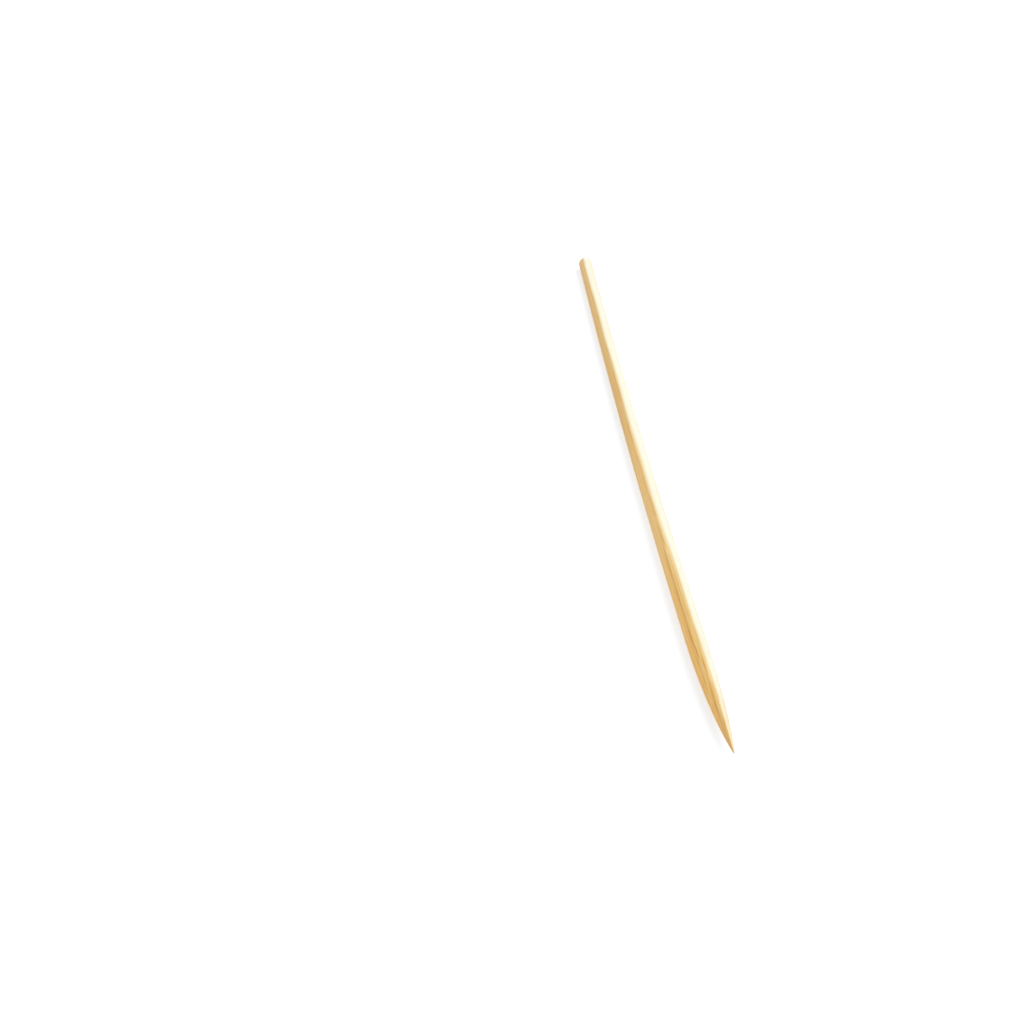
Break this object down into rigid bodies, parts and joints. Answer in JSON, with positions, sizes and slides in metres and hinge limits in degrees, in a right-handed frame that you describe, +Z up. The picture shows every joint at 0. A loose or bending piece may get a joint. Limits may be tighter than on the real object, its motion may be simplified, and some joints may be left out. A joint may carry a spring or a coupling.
{
  "type": "skewer",
  "caption": "Round bamboo grilling skewer with a long ogive point at one end and a square sawn end with an eased edge at the other.",
  "frame": {"origin": "on the table surface, straight below the middle of the part's box", "axes": "+Y along the skewer from the point to the sawn end, +Z up from the table, +X to the right when looking from the point to the sawn end; the bow stands off towards -X"},
  "size_m": [0.0064, 0.25, 0.005],
  "materials": {
    "bamboo": "bare tumbled bamboo, satin, pale straw with fine brown fibre streaks along the grain"
  },
  "bodies": {
    "root": {"skewer": "bamboo"}
  },
  "joints": []
}
